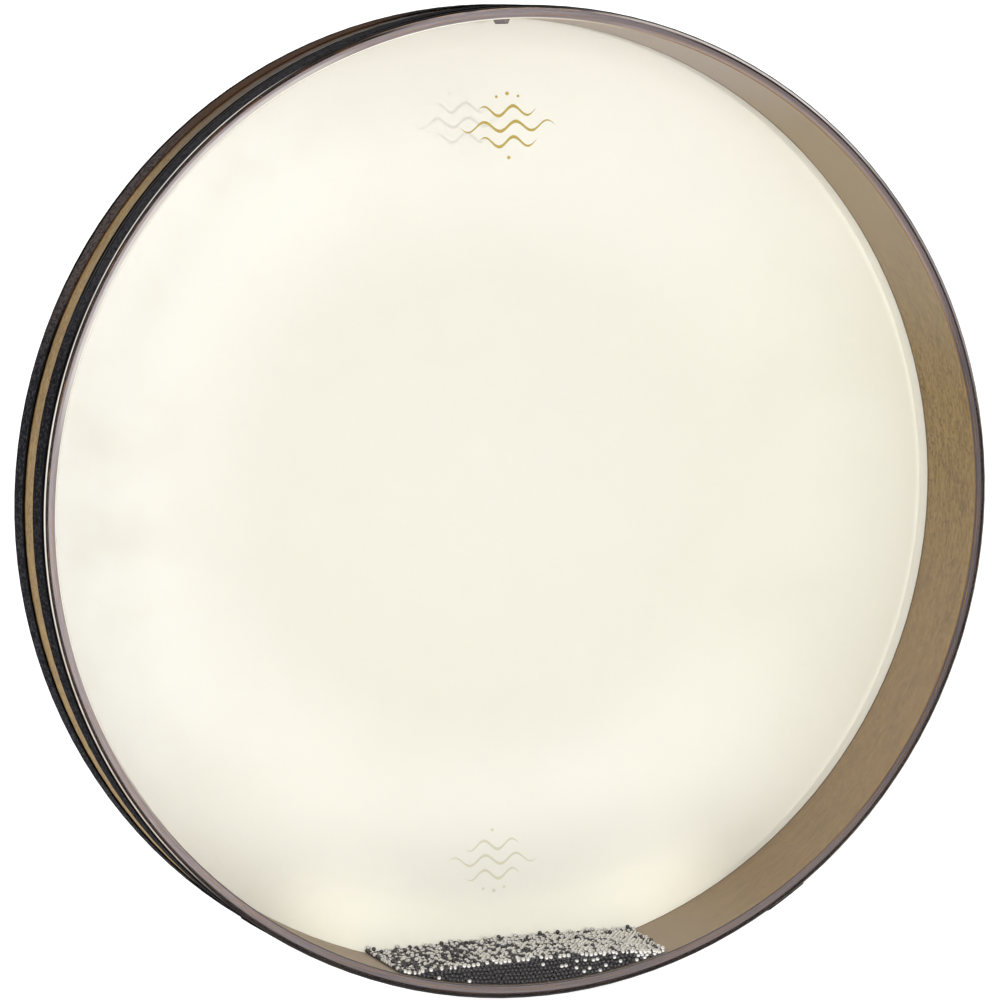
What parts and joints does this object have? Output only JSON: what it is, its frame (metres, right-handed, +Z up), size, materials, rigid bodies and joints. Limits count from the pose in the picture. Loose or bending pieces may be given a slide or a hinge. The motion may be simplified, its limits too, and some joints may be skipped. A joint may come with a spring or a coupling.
{
  "type": "ocean drum",
  "caption": "Round frame drum with a clear front head, an ivory back head, a bent wood hoop, black cloth tape and loose steel shot that rolls inside.",
  "frame": {"origin": "middle of the drum, on its axis and half way through its depth", "axes": "the drum stands upright: +Z up, the drum's axis along Y, the clear front head faces -Y and +X is to the right as seen from the front"},
  "size_m": [0.5605, 0.068, 0.5606],
  "materials": {
    "outer_wood": "satin lacquered brown veneer, grain round the hoop",
    "core_wood": "sawn ply edge, grey brown",
    "inner_wood": "matt brown veneer, grain round the hoop",
    "clear_film": "clear polyester film, glossy",
    "ivory_head": "ivory coated drum skin, faintly mottled",
    "black_tape": "woven cloth tape, slight sheen",
    "plug_wood": "grey brown stained plug",
    "dark_steel": "dark oiled steel shot",
    "bright_steel": "bright plated steel shot"
  },
  "bodies": {
    "drum": {"shell_outer_ply": "outer_wood", "shell_core_ply": "core_wood", "shell_inner_ply": "inner_wood", "front_head": "clear_film", "front_head_collar": "clear_film", "back_head": "ivory_head", "back_head_collar": "ivory_head", "front_tape": "black_tape", "back_tape": "black_tape"},
    "shot_heap": {"shot_bed": "dark_steel", "dark_shot": "dark_steel", "bright_shot": "bright_steel"},
    "plug": {"filler_plug": "plug_wood"}
  },
  "joints": [
    {"name": "shot_roll", "type": "hinge", "parent": "drum", "child": "shot_heap", "pos_m": [0, 0, 0], "axis": [0, 1, 0], "range_deg": [-155, 155]},
    {"name": "plug_pull", "type": "slide", "parent": "drum", "child": "plug", "axis": [0.0087, 0, 1], "range_m": [0, 0.02]}
  ]
}
